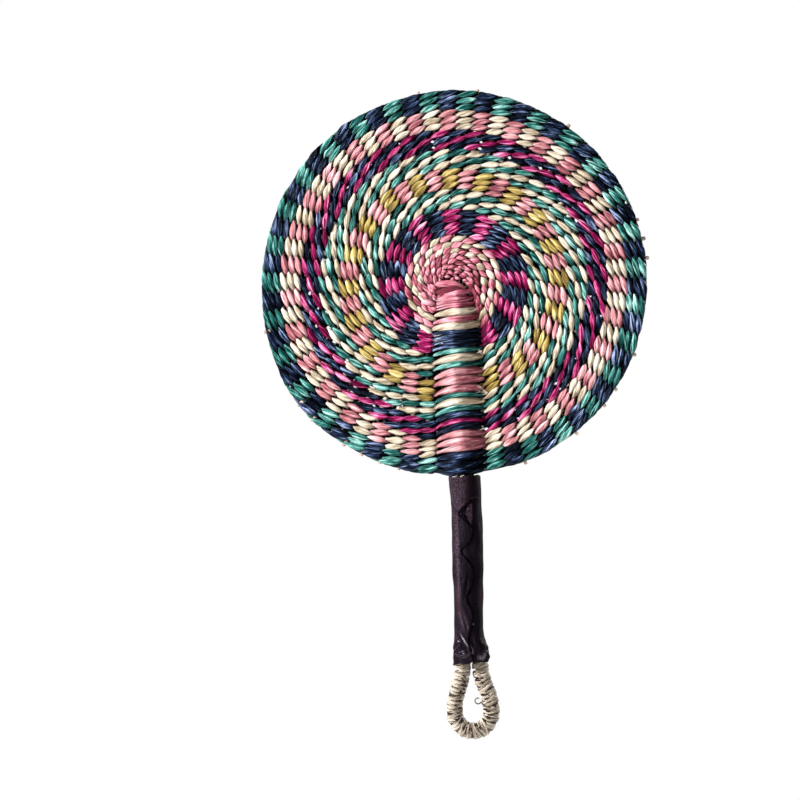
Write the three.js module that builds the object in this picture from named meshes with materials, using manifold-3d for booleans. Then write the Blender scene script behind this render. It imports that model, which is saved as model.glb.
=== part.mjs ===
// A round twined hand fan that hangs on a wall: coloured straw strands woven round radial stakes,
// a spine of stalks with a stick in it, a leather grip and a stiff hanging loop wound with straw.
// Millimetres, +Z up, the disc above the grip. The front faces -Y and the wall side +Y.
import * as THREE from 'three';
import { mergeVertices } from 'three/addons/utils/BufferGeometryUtils.js';
import Module from 'manifold-3d';

const wasm = await Module();
wasm.setup();

// General
const clearance = 0.3;

// Rows of the weave, counted out from the eye
const eyeRadius = 1.9;
const rowPitch = 4.4;
const strandThickness = 1.7;

// Stakes that the strands go round
const stakeHalfWidth = 1.25;
const stakeHalfThickness = 1.2;
const stakeRootHalfWidth = 0.75;
const rootRings = 3;
const stakeTipHalfWidth = 0.5;
const stakeStub = 1.2;
const hubInnerRadius = 3.4;
const hubOuterRadius = 7;

// Spine of stalks, as distances below the eye
const ribHalfWidth = 16.5;
const ribTaper = 0.8;
const coreHalfWidth = 11.2;
const coreHalfThickness = 6.5;
const coreTipRadius = 2;
const coreTipDrop = 8;
const coreFullDrop = 28;
const coreShrinkLength = 5;
const coreSides = 12;

// Grip
const gripLength = 126;
const gripCoreRadius = 8.2;
const leatherThickness = 1.4;
const leatherCollar = 1.2;
const leatherFlare = 1.9;
const leatherFlareLength = 10;
const leatherSides = 24;
const stickRadius = 4.5;
const stickTopDrop = 32;
const stickSides = 12;

// Hanging loop
const loopCoreRadius = 3.3;
const loopCoreSides = 8;
const loopCoreSteps = 56;
const loopOffset = 0.9;
const loopHalfWidth = 12.4;
const loopMouthHalfWidth = 5.9;
const loopLength = 44.8;
const loopBowDepth = 13.3;
const tangLength = 17;
const windTurns = 20;
const windRadius = 1;
const windStepsPerTurn = 12;
const windSides = 6;

// Rings of the weave, from the middle out. A ring's front strand passes in front of the spine.
const rings = [
  { rows: 4, stitches: 22, front: 'pink', back: 'pink' },
  { rows: 3, stitches: 22, front: 'pink', back: 'cream' },
  { rows: 4, stitches: 22, front: 'navy', back: 'magenta' },
  { rows: 3, stitches: 33, front: 'teal', back: 'cream' },
  { rows: 3, stitches: 38, front: 'pink', back: 'yellow' },
  { rows: 3, stitches: 45, front: 'teal', back: 'cream' },
  { rows: 3, stitches: 53, front: 'navy', back: 'magenta' },
  { rows: 3, stitches: 60, front: 'pink', back: 'cream' },
  { rows: 3, stitches: 60, front: 'navy', back: 'teal' },
];
const wallRing = 3;

const straw = (color) => new THREE.MeshStandardMaterial({ color, roughness: 0.45, metalness: 0 });
const materials = {
  pink: straw(0xe58a9b),
  cream: straw(0xe8d3b0),
  navy: straw(0x1b2550),
  magenta: straw(0xc2187a),
  teal: straw(0x2f9c8b),
  yellow: straw(0xd0b84a),
  stake: straw(0xd9c39a),
  stalk: straw(0xc9ad7c),
  wood: new THREE.MeshStandardMaterial({ color: 0x9a7446, roughness: 0.7, metalness: 0 }),
  leather: new THREE.MeshStandardMaterial({ color: 0x2a1a20, roughness: 0.5, metalness: 0 }),
};

// Sizes worked out from the driving ones
const stakeClear = stakeHalfThickness + clearance;
const discHalfThickness = stakeClear + strandThickness;
const ringRadii = [eyeRadius];
for (const ring of rings) {
  ringRadii.push(ringRadii.at(-1) + ring.rows * rowPitch);
}
const discRadius = ringRadii.at(-1);
const spineBack = coreHalfThickness + clearance + strandThickness;
const wallDrop = (ringRadii[wallRing] + ringRadii[wallRing + 1]) / 2;
const gripTop = discRadius + clearance;
const gripBottom = gripTop + gripLength;
const flareTop = gripBottom - leatherFlareLength;
const gripBore = gripCoreRadius + clearance;
const tangTop = gripBottom - tangLength;
const coreBottom = tangTop - clearance - strandThickness;

// Makes a geometry's faces point out.
function outward(geometry) {
  const position = geometry.getAttribute('position');
  const index = geometry.getIndex().array;
  const corners = [new THREE.Vector3(), new THREE.Vector3(), new THREE.Vector3()];
  let volume = 0;
  for (let i = 0; i < index.length; i += 3) {
    corners.forEach((corner, k) => corner.fromBufferAttribute(position, index[i + k]));
    volume += corners[0].dot(corners[1].cross(corners[2]));
  }
  if (volume < 0) {
    for (let i = 0; i < index.length; i += 3) {
      [index[i], index[i + 1]] = [index[i + 1], index[i]];
    }
  }
  return geometry;
}

// Closes a body through rings of points, all with the same number of points.
function loft(sections) {
  const sides = sections[0].length;
  const last = (sections.length - 1) * sides;
  const index = [];
  for (let start = 0; start < last; start += sides) {
    for (let k = 0; k < sides; k += 1) {
      const a = start + k;
      const b = start + (k + 1) % sides;
      index.push(a, b, a + sides, b, b + sides, a + sides);
    }
  }
  for (let k = 1; k + 1 < sides; k += 1) {
    index.push(0, k + 1, k);
    index.push(last, last + k, last + k + 1);
  }
  const geometry = new THREE.BufferGeometry();
  geometry.setAttribute('position', new THREE.Float32BufferAttribute(
    sections.flat().flatMap((point) => [point.x, point.y, point.z]), 3));
  geometry.setIndex(index);
  return outward(geometry);
}

// Leaves a geometry its points and faces only.
function plain(geometry) {
  geometry.deleteAttribute('normal');
  geometry.deleteAttribute('uv');
  return geometry;
}

// Turns a closed profile of [radius, height] pairs round the Z axis.
function turned(profile, sides) {
  const points = [...profile, profile[0]].map(([radius, height]) => new THREE.Vector2(radius, height));
  return outward(mergeVertices(plain(new THREE.LatheGeometry(points, sides).rotateX(Math.PI / 2))));
}

function toManifold(geometry) {
  return new wasm.Manifold(new wasm.Mesh({
    numProp: 3,
    vertProperties: new Float32Array(geometry.getAttribute('position').array),
    triVerts: new Uint32Array(geometry.getIndex().array),
  }));
}

function fromManifold(solid) {
  const mesh = solid.getMesh();
  const geometry = new THREE.BufferGeometry();
  geometry.setAttribute('position', new THREE.Float32BufferAttribute(mesh.vertProperties, 3));
  geometry.setIndex([...mesh.triVerts]);
  return geometry;
}

function join(geometries) {
  return geometries.map(toManifold).reduce((whole, piece) => whole.add(piece));
}

const fan = new THREE.Group();
const upright = new THREE.Group();
upright.position.set(0, -spineBack, wallDrop);
fan.add(upright);

function addPiece(name, geometry, material) {
  const mesh = new THREE.Mesh(geometry, material);
  mesh.name = name;
  upright.add(mesh);
}

// Half width of the raised rib, and half sizes of the stalks in it, at a distance below the eye.
const ribEdge = (drop) => Math.min(ribHalfWidth, ribTaper * drop);
function coreSize(drop) {
  const share = THREE.MathUtils.clamp((drop - coreTipDrop) / (coreFullDrop - coreTipDrop), 0, 1);
  return {
    width: THREE.MathUtils.lerp(coreTipRadius, coreHalfWidth, share),
    thickness: THREE.MathUtils.lerp(coreTipRadius, coreHalfThickness, share),
  };
}

// Angles are counted from straight down, anticlockwise as seen from the front.
const polar = (radius, angle) => new THREE.Vector2(radius * Math.sin(angle), -radius * Math.cos(angle));
const below = (radius, x) => new THREE.Vector2(x, -Math.sqrt(radius * radius - x * x));
function evenAngle(radius, place, count) {
  const edge = Math.asin(ribEdge(radius) / radius);
  return edge + (2 * Math.PI - 2 * edge) * (place + 0.5) / count;
}

// Routes of the stakes: each holds its first ring and its angle at every ring boundary from there on.
const stakes = [];
for (let place = 0; place < rings[0].stitches - 1; place += 1) {
  stakes.push({ firstRing: 0, angles: { 0: evenAngle(ringRadii[0], place, rings[0].stitches - 1) } });
}
let standing = [...stakes];
rings.forEach((ring, number) => {
  const added = ring.stitches - 1 - standing.length;
  const gaps = standing.length - 1;
  for (let k = added - 1; k >= 0; k -= 1) {
    const gap = Math.floor((k + 0.5) * gaps / added);
    const angle = (standing[gap].angles[number] + standing[gap + 1].angles[number]) / 2;
    const stake = { firstRing: number, angles: { [number]: angle } };
    standing.splice(gap + 1, 0, stake);
    stakes.push(stake);
  }
  standing.forEach((stake, place) => {
    stake.angles[number + 1] = evenAngle(ringRadii[number + 1], place, standing.length);
  });
  ring.stakes = [...standing];
});

// One diamond section of a stake, grown by a margin where it makes room for itself.
function stakeSection(radius, angle, halfWidth, halfThickness) {
  const centre = polar(radius, angle);
  const across = new THREE.Vector2(Math.cos(angle), Math.sin(angle)).multiplyScalar(halfWidth);
  return [
    new THREE.Vector3(centre.x, -halfThickness, centre.y),
    new THREE.Vector3(centre.x + across.x, 0, centre.y + across.y),
    new THREE.Vector3(centre.x, halfThickness, centre.y),
    new THREE.Vector3(centre.x - across.x, 0, centre.y - across.y),
  ];
}

function baseStake(stake, lastRing, margin) {
  const sections = [];
  for (let edge = 0; edge <= lastRing + 1; edge += 1) {
    const inner = edge === 0;
    const radius = inner ? (hubInnerRadius + hubOuterRadius) / 2 : ringRadii[edge];
    const stub = edge === rings.length ? stakeStub : 0;
    const halfWidth = edge < rootRings ? stakeRootHalfWidth : stakeHalfWidth;
    sections.push(stakeSection(radius + stub, stake.angles[inner ? 1 : edge], halfWidth + margin,
      stakeHalfThickness + margin));
  }
  return loft(sections);
}

function hub(margin) {
  const inner = hubInnerRadius - margin;
  const outer = hubOuterRadius + margin;
  const half = stakeHalfThickness + margin;
  return turned([[inner, -half], [outer, -half], [outer, half], [inner, half]], coreSides);
}

// The hub's axis is turned from Z to Y, square to the disc.
const facing = (geometry) => geometry.rotateX(Math.PI / 2);

function baseStakes(lastRing, margin) {
  const spokes = rings[0].stakes.map((stake) => baseStake(stake, lastRing, margin));
  return join([facing(hub(margin)), ...spokes]);
}

function insertedStake(stake) {
  const first = stake.firstRing;
  const sections = [stakeSection(ringRadii[first] + clearance, stake.angles[first],
    stakeTipHalfWidth, stakeTipHalfWidth)];
  for (let edge = first + 1; edge < ringRadii.length; edge += 1) {
    const stub = edge === rings.length ? stakeStub : 0;
    sections.push(stakeSection(ringRadii[edge] + stub, stake.angles[edge], stakeHalfWidth,
      stakeHalfThickness));
  }
  return loft(sections);
}

// Sections of a strand as [share across the ring, height] corners. It passes in front of a stake,
// crosses to the back through the ring's inner half, and comes forward through the outer half.
const sectionShapes = {
  front: (inner, outer) => [[0, -outer], [1, -outer], [0.5, -inner]],
  goingBack: (slit, half) => [[0, -half], [0.5 - slit, 0], [0, half]],
  back: (inner, outer) => [[0.5, inner], [1, outer], [0, outer]],
  comingForward: (slit, half) => [[1, -half], [1, half], [0.5 + slit, 0]],
};

// Places one strand of a ring. At each station, place(share) gives the point of the ring's middle
// plane there, and heights(share) the strand's inner and outer height.
function strand(number, startsInFront) {
  const ring = rings[number];
  const inner = ringRadii[number] + clearance / 2;
  const outer = ringRadii[number + 1] - clearance / 2;
  const slit = clearance / (outer - inner);
  const spread = (innerPoint, outerPoint) => (share) => innerPoint.clone().lerp(outerPoint, share);
  const flat = () => [stakeClear, discHalfThickness];
  const sections = [];
  let front = startsInFront;
  let turn = 0;

  function addSection(shape, first, second, place) {
    const corners = sectionShapes[shape](first, second).map(([share, height]) => {
      const point = place(share);
      return new THREE.Vector3(point.x, height, point.y);
    });
    sections.push(corners.map((corner, k) => corners[(k + turn) % corners.length]));
  }
  function cross(place) {
    addSection(front ? 'goingBack' : 'comingForward', slit, discHalfThickness / 2, place);
    turn += front ? 0 : 1;
    front = !front;
  }
  function pass(place, heights) {
    addSection(front ? 'front' : 'back', ...heights, place);
  }
  function passSpine() {
    const corner = Math.tan(Math.PI / 8);
    const stations = [[-1, corner], [-corner, 1], [corner, 1], [1, corner]];
    for (const [widthShare, thicknessShare] of stations) {
      const at = (drop) => {
        const core = coreSize(drop);
        return {
          x: (core.width + clearance) * widthShare,
          height: (core.thickness + clearance) * thicknessShare,
        };
      };
      const middle = at((inner + outer) / 2);
      const place = (share) => {
        const drop = THREE.MathUtils.lerp(inner, outer, share);
        return below(drop, at(drop).x);
      };
      const shape = front ? 'front' : 'back';
      const corners = sectionShapes[shape](middle.height, middle.height + strandThickness)
        .map(([share, height]) => {
          const drop = THREE.MathUtils.lerp(inner, outer, share);
          const rise = share === 0.5 ? 0 : at(drop).height - middle.height;
          const point = place(share);
          return new THREE.Vector3(point.x, height + Math.sign(height) * rise, point.y);
        });
      sections.push(corners.map((point, k) => corners[(k + turn) % corners.length]));
    }
  }
  const edgePlace = (side, shift) => spread(
    below(inner, side * ribEdge(inner) + shift),
    below(outer, side * ribEdge(outer) + shift));
  const stakePlace = (stake) => spread(
    polar(inner, stake.angles[number]),
    polar(outer, stake.angles[number + 1]));
  const betweenPlace = (one, other) => spread(
    polar(inner, (one.angles[number] + other.angles[number]) / 2),
    polar(outer, (one.angles[number + 1] + other.angles[number + 1]) / 2));

  front = !startsInFront;
  cross(edgePlace(-1, clearance / 2));
  passSpine();
  cross(edgePlace(1, 0));
  ring.stakes.forEach((stake, place) => {
    pass(stakePlace(stake), flat());
    const next = ring.stakes[place + 1];
    cross(next ? betweenPlace(stake, next) : edgePlace(-1, -clearance / 2));
  });
  return loft(sections);
}

// An oval section of the stalks.
function oval(drop, halfWidth, halfThickness) {
  return Array.from({ length: coreSides }, (_, k) => {
    const angle = 2 * Math.PI * (k + 0.5) / coreSides;
    return new THREE.Vector3(halfWidth * Math.cos(angle), halfThickness * Math.sin(angle), -drop);
  });
}

// The stalks inside the first two rings, grown by a margin.
function tip(margin) {
  const grown = (drop) => {
    const core = coreSize(drop);
    return oval(drop, core.width + margin, core.thickness + margin);
  };
  const start = oval(coreTipDrop - margin, coreTipRadius + margin, coreTipRadius + margin);
  return loft([start, grown(coreFullDrop), grown(Math.max(coreFullDrop, ringRadii[1]) + rowPitch)]);
}

// The centre strand fills the first ring, with room for the stakes and the stalks' tip, and goes on
// as the front strand of the second ring. Its rim stays inside the straight runs onto the spine there.
function centreStrand() {
  const outer = ringRadii[1] - 3 * clearance;
  const lip = discHalfThickness / 2;
  const disc = facing(turned([
    [eyeRadius, -lip],
    [hubInnerRadius, -discHalfThickness],
    [outer + rowPitch, -discHalfThickness],
    [outer + rowPitch, discHalfThickness],
    [hubInnerRadius, discHalfThickness],
    [eyeRadius, lip],
  ], 2 * coreSides));
  const within = mergeVertices(plain(new THREE.CylinderGeometry(outer, outer, 4 * spineBack, 2 * coreSides)));
  const bridgeFoot = coreSize(ringRadii[1]).thickness + clearance;
  const bridge = plain(new THREE.BoxGeometry(rowPitch, strandThickness, rowPitch));
  bridge.translate(0, -bridgeFoot - strandThickness, -ringRadii[1]);
  const solid = join([disc, tip(clearance + strandThickness)])
    .intersect(toManifold(within))
    .subtract(baseStakes(0, clearance))
    .add(toManifold(mergeVertices(bridge)))
    .subtract(toManifold(tip(clearance)))
    .add(toManifold(strand(1, true)));
  return fromManifold(solid);
}

// The stalks: a point at the eye, an oval in the spine and a round bundle in the grip.
function spineStalks() {
  const sections = [
    oval(coreTipDrop, coreTipRadius, coreTipRadius),
    oval(coreFullDrop, coreHalfWidth, coreHalfThickness),
    oval(gripTop - coreShrinkLength, coreHalfWidth, coreHalfThickness),
    oval(gripTop, gripCoreRadius, gripCoreRadius),
    oval(coreBottom, gripCoreRadius, gripCoreRadius),
  ];
  const bore = new THREE.CylinderGeometry(stickRadius + clearance, stickRadius + clearance,
    coreBottom - stickTopDrop + 2 * clearance, stickSides).rotateX(Math.PI / 2);
  bore.translate(0, 0, -(stickTopDrop + coreBottom) / 2);
  return fromManifold(toManifold(loft(sections)).subtract(toManifold(mergeVertices(plain(bore)))));
}

function handleStick() {
  const length = coreBottom - stickTopDrop - clearance;
  const stick = new THREE.CylinderGeometry(stickRadius, stickRadius, length, stickSides);
  return stick.rotateX(Math.PI / 2).translate(0, 0, -coreBottom + length / 2);
}

function leatherGrip() {
  const outer = gripBore + leatherThickness;
  return turned([
    [outer + leatherFlare, -gripBottom],
    [outer + leatherFlare, -gripBottom + leatherFlareLength / 2],
    [outer, -flareTop],
    [outer + leatherCollar / 2, -(gripTop + gripLength / 4)],
    [outer + leatherCollar, -gripTop],
    [gripBore, -gripTop],
    [gripBore, -flareTop],
    [gripBore + leatherFlare, -gripBottom],
  ], leatherSides);
}

// The loop's middle line, down one leg, round the bow and up the other, in the plane of the disc.
const legs = { left: -1, right: 1 };
const tangX = gripBore - clearance - loopCoreRadius;
const bowHeight = -(gripBottom + loopLength - loopBowDepth);
const loopPath = new THREE.Path();
loopPath.moveTo(legs.left * tangX, -tangTop);
loopPath.lineTo(legs.left * tangX, -flareTop);
loopPath.lineTo(loopOffset + legs.left * loopMouthHalfWidth, -gripBottom);
loopPath.bezierCurveTo(
  loopOffset + legs.left * loopMouthHalfWidth, -gripBottom - loopBowDepth,
  loopOffset + legs.left * loopHalfWidth, bowHeight + loopBowDepth,
  loopOffset + legs.left * loopHalfWidth, bowHeight);
loopPath.absellipse(loopOffset, bowHeight, loopHalfWidth, loopBowDepth, Math.PI, 2 * Math.PI, false, 0);
loopPath.bezierCurveTo(
  loopOffset + legs.right * loopHalfWidth, bowHeight + loopBowDepth,
  loopOffset + legs.right * loopMouthHalfWidth, -gripBottom - loopBowDepth,
  loopOffset + legs.right * loopMouthHalfWidth, -gripBottom);
loopPath.lineTo(legs.right * tangX, -flareTop);
loopPath.lineTo(legs.right * tangX, -tangTop);
const loopTotal = loopPath.getLength();
const tangRun = loopPath.curves[0].getLength() + loopPath.curves[1].getLength();

// A point at a distance along the loop, moved off its middle line by a radius and an angle.
function loopPoint(distance, radius, angle) {
  const share = THREE.MathUtils.clamp(distance / loopTotal, 0, 1);
  const middle = loopPath.getPointAt(share);
  const along = loopPath.getTangentAt(share);
  const inPlane = radius * Math.cos(angle);
  return new THREE.Vector3(middle.x + along.y * inPlane, -radius * Math.sin(angle),
    middle.y - along.x * inPlane);
}

function hangingLoopCore() {
  const sections = Array.from({ length: loopCoreSteps + 1 }, (_, step) =>
    Array.from({ length: loopCoreSides }, (__, k) =>
      loopPoint(loopTotal * step / loopCoreSteps, loopCoreRadius, 2 * Math.PI * k / loopCoreSides)));
  return loft(sections);
}

// The winding is one tube that goes round the loop's core, with its ends straight up inside the grip.
const windReach = loopCoreRadius + clearance + windRadius;
const windStart = tangRun - 2 * windRadius;
const windRun = loopTotal - 2 * windStart;
const endRun = 3 * windRadius;
const windPitch = (windRun - 3 * endRun) / windTurns;

// Angle of the winding round the core, easing out of a straight end and into the other.
function windAngle(run) {
  const full = windRun - 2 * endRun;
  const into = THREE.MathUtils.clamp(run - endRun, 0, full);
  const easeIn = into < endRun ? into * into / (2 * endRun) : into - endRun / 2;
  const left = full - into;
  const easeOut = left < endRun ? (endRun - left) ** 2 / (2 * endRun) : 0;
  return Math.PI / 2 + 2 * Math.PI * (easeIn - easeOut) / windPitch;
}

function hangingLoopWinding() {
  const steps = Math.round(windRun / windPitch * windStepsPerTurn);
  const line = Array.from({ length: steps + 1 }, (_, step) => {
    const run = windRun * step / steps;
    return loopPoint(windStart + run, windReach, windAngle(run));
  });
  const sections = line.map((point, step) => {
    const run = windRun * step / steps;
    const along = line[Math.min(step + 1, steps)].clone().sub(line[Math.max(step - 1, 0)]).normalize();
    const out = point.clone().sub(loopPoint(windStart + run, 0, 0));
    out.addScaledVector(along, -out.dot(along)).normalize();
    const side = along.clone().cross(out);
    return Array.from({ length: windSides }, (__, k) => {
      const angle = 2 * Math.PI * k / windSides;
      return point.clone()
        .addScaledVector(out, windRadius * Math.cos(angle))
        .addScaledVector(side, windRadius * Math.sin(angle));
    });
  });
  let least = Infinity;
  for (let i = 0; i < line.length; i += 1) {
    for (let j = i + Math.ceil(windStepsPerTurn / 2); j < line.length; j += 1) {
      least = Math.min(least, line[i].distanceTo(line[j]));
    }
  }
  console.log(`least gap of the winding to itself: ${(least - 2 * windRadius).toFixed(2)} mm`);
  return loft(sections);
}

addPiece('base_stakes', fromManifold(baseStakes(rings.length - 1, 0)), materials.stake);
const inserted = stakes.filter((stake) => stake.firstRing > 0);
inserted.forEach((stake, k) => {
  addPiece(`inserted_stake_${String(k + 1).padStart(2, '0')}`, insertedStake(stake), materials.stake);
});
addPiece('centre_pink_strand', centreStrand(), materials.pink);
for (let number = 1; number < rings.length; number += 1) {
  const ring = rings[number];
  if (number > 1) {
    addPiece(`ring_${number + 1}_${ring.front}_strand`, strand(number, true), materials[ring.front]);
  }
  addPiece(`ring_${number + 1}_${ring.back}_strand`, strand(number, false), materials[ring.back]);
}
addPiece('spine_stalks', spineStalks(), materials.stalk);
addPiece('handle_stick', handleStick(), materials.wood);
addPiece('leather_grip', leatherGrip(), materials.leather);
addPiece('hanging_loop_core', hangingLoopCore(), materials.stalk);
addPiece('hanging_loop_winding', hangingLoopWinding(), materials.cream);

export default fan;
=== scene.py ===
import math

import bmesh
import bpy
import numpy as np
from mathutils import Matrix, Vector


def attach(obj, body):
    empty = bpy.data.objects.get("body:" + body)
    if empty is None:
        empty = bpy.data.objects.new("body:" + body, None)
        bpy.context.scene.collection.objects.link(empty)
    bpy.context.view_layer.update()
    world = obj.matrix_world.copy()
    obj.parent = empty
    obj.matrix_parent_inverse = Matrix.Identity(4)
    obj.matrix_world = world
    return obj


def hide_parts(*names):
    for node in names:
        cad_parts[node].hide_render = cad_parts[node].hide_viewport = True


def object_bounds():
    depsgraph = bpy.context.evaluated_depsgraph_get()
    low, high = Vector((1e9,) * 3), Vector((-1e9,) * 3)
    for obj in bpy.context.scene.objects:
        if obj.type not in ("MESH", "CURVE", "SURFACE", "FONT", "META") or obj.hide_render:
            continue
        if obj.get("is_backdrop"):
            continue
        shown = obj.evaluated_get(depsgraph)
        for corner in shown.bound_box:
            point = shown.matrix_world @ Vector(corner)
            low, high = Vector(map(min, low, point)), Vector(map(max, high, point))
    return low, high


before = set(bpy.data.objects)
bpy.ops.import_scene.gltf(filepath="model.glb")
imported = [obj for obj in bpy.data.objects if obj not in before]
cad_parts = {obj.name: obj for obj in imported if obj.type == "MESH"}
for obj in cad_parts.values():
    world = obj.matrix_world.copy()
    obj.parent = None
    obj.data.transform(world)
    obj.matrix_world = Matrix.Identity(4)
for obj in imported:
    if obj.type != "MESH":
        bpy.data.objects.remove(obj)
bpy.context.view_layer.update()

rng = np.random.default_rng(11)

EYE = np.array([0.0, -8.5, 56.9])       # the middle of the disc in the frame
FRONT = np.array([0.0, -1.0, 0.0])


# Camera
# The fan leans a little in the picture, so the camera is rolled instead of the fan.
LEAN = math.radians(2.2)
MM_PER_PIXEL = 0.67
PIXELS = 800                            # the picture's width
EYE_PIXEL = (455.3, 283)                # the eye's place in the picture
AIM = (-55.2, -117.2)                   # the picture's middle, in pixels right of the eye and above it
DISTANCE = 2.0
SENSOR = 36
right = Vector((math.cos(LEAN), 0, -math.sin(LEAN)))
up = Vector((math.sin(LEAN), 0, math.cos(LEAN)))
aim = Vector(EYE / 1000) + (right * AIM[0] + up * AIM[1]) * MM_PER_PIXEL / 1000
camera = bpy.data.objects.new("camera", bpy.data.cameras.new("camera"))
bpy.context.scene.collection.objects.link(camera)
camera.location = aim + Vector((0, -DISTANCE, 0))
camera.rotation_euler = (math.pi / 2, LEAN, 0)
camera.data.sensor_width = SENSOR
camera.data.lens = SENSOR * DISTANCE / (PIXELS * MM_PER_PIXEL / 1000)
bpy.context.scene.camera = camera


# Materials
def colour(code):
    """A linear colour from its six-digit code."""
    parts = [int(code[i:i + 2], 16) / 255 for i in (0, 2, 4)]
    return [p / 12.92 if p <= 0.04045 else ((p + 0.055) / 1.055) ** 2.4 for p in parts] + [1]


class Nodes:
    """Short calls for building the node tree of a material or of the world."""

    def __init__(self, owner, shader="Principled BSDF"):
        owner.use_nodes = True
        self.owner = owner
        self.tree = owner.node_tree
        self.shader = self.tree.nodes[shader]

    def add(self, kind, inputs=None, **settings):
        node = self.tree.nodes.new(kind)
        for key, value in settings.items():
            setattr(node, key, value)
        for key, value in (inputs or {}).items():
            self.put(value, node.inputs[key])
        return node

    def put(self, value, socket):
        if isinstance(value, bpy.types.NodeSocket):
            self.tree.links.new(value, socket)
        else:
            socket.default_value = value

    def attribute(self, name):
        return self.add("ShaderNodeAttribute", attribute_name=name).outputs["Fac"]

    def math(self, operation, a, b):
        return self.add("ShaderNodeMath", {0: a, 1: b}, operation=operation).outputs[0]

    def noise(self, vector, scale, detail, distortion=0.0):
        inputs = {"Vector": vector, "Scale": scale, "Detail": detail, "Distortion": distortion}
        return self.add("ShaderNodeTexNoise", inputs).outputs["Fac"]

    def stretched(self, vector, scale):
        return self.add("ShaderNodeMapping", {"Vector": vector, "Scale": scale}).outputs["Vector"]

    def span(self, value, low, high, to_low, to_high):
        inputs = {"Value": value, "From Min": low, "From Max": high, "To Min": to_low, "To Max": to_high}
        return self.add("ShaderNodeMapRange", inputs).outputs["Result"]

    def ramp(self, value, *stops):
        node = self.add("ShaderNodeValToRGB", {"Fac": value})
        elements = node.color_ramp.elements
        while len(elements) < len(stops):
            elements.new(0.5)
        for element, (place, code) in zip(elements, stops):
            element.position = place
            element.color = colour(code)
        return node.outputs["Color"]

    def mix(self, factor, a, b, blend="MIX"):
        node = self.add("ShaderNodeMix", data_type="RGBA", blend_type=blend)
        self.put(factor, node.inputs["Factor"])
        self.put(a, node.inputs["A"])
        self.put(b, node.inputs["B"])
        return node.outputs["Result"]

    def grey(self, value):
        return self.add("ShaderNodeCombineColor", {0: value, 1: value, 2: value}).outputs["Color"]

    def bump(self, height, strength, distance, normal=None):
        inputs = {"Height": height, "Strength": strength, "Distance": distance}
        if normal:
            inputs["Normal"] = normal
        return self.add("ShaderNodeBump", inputs).outputs["Normal"]

    def finish(self, base, roughness, normal, specular=0.5, tint=(1, 1, 1, 1)):
        self.put(base, self.shader.inputs["Base Color"])
        self.put(roughness, self.shader.inputs["Roughness"])
        self.put(normal, self.shader.inputs["Normal"])
        self.shader.inputs["Specular IOR Level"].default_value = specular
        self.shader.inputs["Specular Tint"].default_value = tint
        return self.owner


def straw(name, deep, dark, middle, light, glint, gloss=0.34, contrast=1.0):
    """Dyed straw: fibres run along the strand and each stitch has its own tone; painted shade takes it
    towards a deep colour where it sinks, and its lightest tones end in a painted glint.
    """
    n = Nodes(bpy.data.materials.new(name))
    along = n.add("ShaderNodeUVMap", uv_map="along").outputs["UV"]
    streak = n.noise(n.stretched(along, (0.7, 11, 1)), 1.0, 3.0, 0.4)
    fibre = n.noise(n.stretched(along, (1.6, 34, 1)), 1.0, 3.0)
    patch = n.noise(n.stretched(along, (2.2, 3.0, 1)), 1.0, 2.0)
    tone = n.math("ADD", n.attribute("tone"), n.span(streak, 0.36, 0.64, -0.42 * contrast, 0.42 * contrast))
    tone = n.math("ADD", tone, n.span(fibre, 0.35, 0.65, -0.2 * contrast, 0.2 * contrast))
    tone = n.math("ADD", tone, n.span(patch, 0.3, 0.7, -0.12, 0.12))
    # The top stop of the ramp is a painted glint, a highlight put into the colour.
    base = n.ramp(n.math("MULTIPLY", tone, 0.8), (0.05, dark), (0.4, middle), (0.75, light), (0.97, glint))
    # Painted shade: where the shade number is low, the colour goes to the deep one.
    base = n.mix(n.attribute("shade"), colour(deep), base)
    normal = n.bump(n.math("ADD", streak, n.math("MULTIPLY", fibre, 0.4)), contrast, 0.0012)
    tint = [0.2 + 0.8 * part for part in colour(light)]
    return n.finish(base, n.span(fibre, 0.3, 0.7, gloss - 0.08, gloss + 0.1), normal, 0.2, tint)


# Each straw: the colour of its painted shade, its dark, middle and light tones, and a painted glint
STRAW = {
    "pink": straw("pink straw", "38060f", "8a4752", "d0878c", "fabfc3", "ffe6e6"),
    "centre": straw("centre pink straw", "2a040d", "7e3343", "d6788a", "fdb2be", "ffdce0"),
    "cream": straw("cream straw", "2c1a10", "a18d73", "e3d3bc", "f6e8d4", "fdf5e8"),
    "navy": straw("navy straw", "010309", "03060e", "091225", "43587f", "a3b3d8", 0.34, 1.2),
    "magenta": straw("magenta straw", "1c000d", "4c0429", "a01358", "ee6ca8", "ffc6e2", 0.34, 1.15),
    "teal": straw("teal straw", "011412", "082f2d", "246d67", "8cd0c4", "ddf8f3", 0.34, 1.1),
    "yellow": straw("yellow straw", "241603", "705a2b", "b49a53", "e8cf88", "fbf0c0"),
    "stake": straw("stake straw", "1a100b", "a08373", "ddc6b6", "f8eae0", "ffffff"),
    # Near-black fibre and dark maroon centre fibre: painted shade for the gaps of the weave
    "fibre": straw("inner shade fibre", "020101", "0a0605", "150d0a", "241a13", "35281e", 0.7),
    "core": straw("centre shade fibre", "100205", "1c0409", "340a13", "551a26", "702c3a", 0.7),
    "loop": straw("loop straw", "150d07", "5a4a3c", "b2a492", "efe7dc", "fdf9f2", 0.5, 0.8),
    "stalk": straw("stalk straw", "1c140b", "8d744a", "cdb68a", "efe2c4", "fffaf0", 0.5),
}


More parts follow.
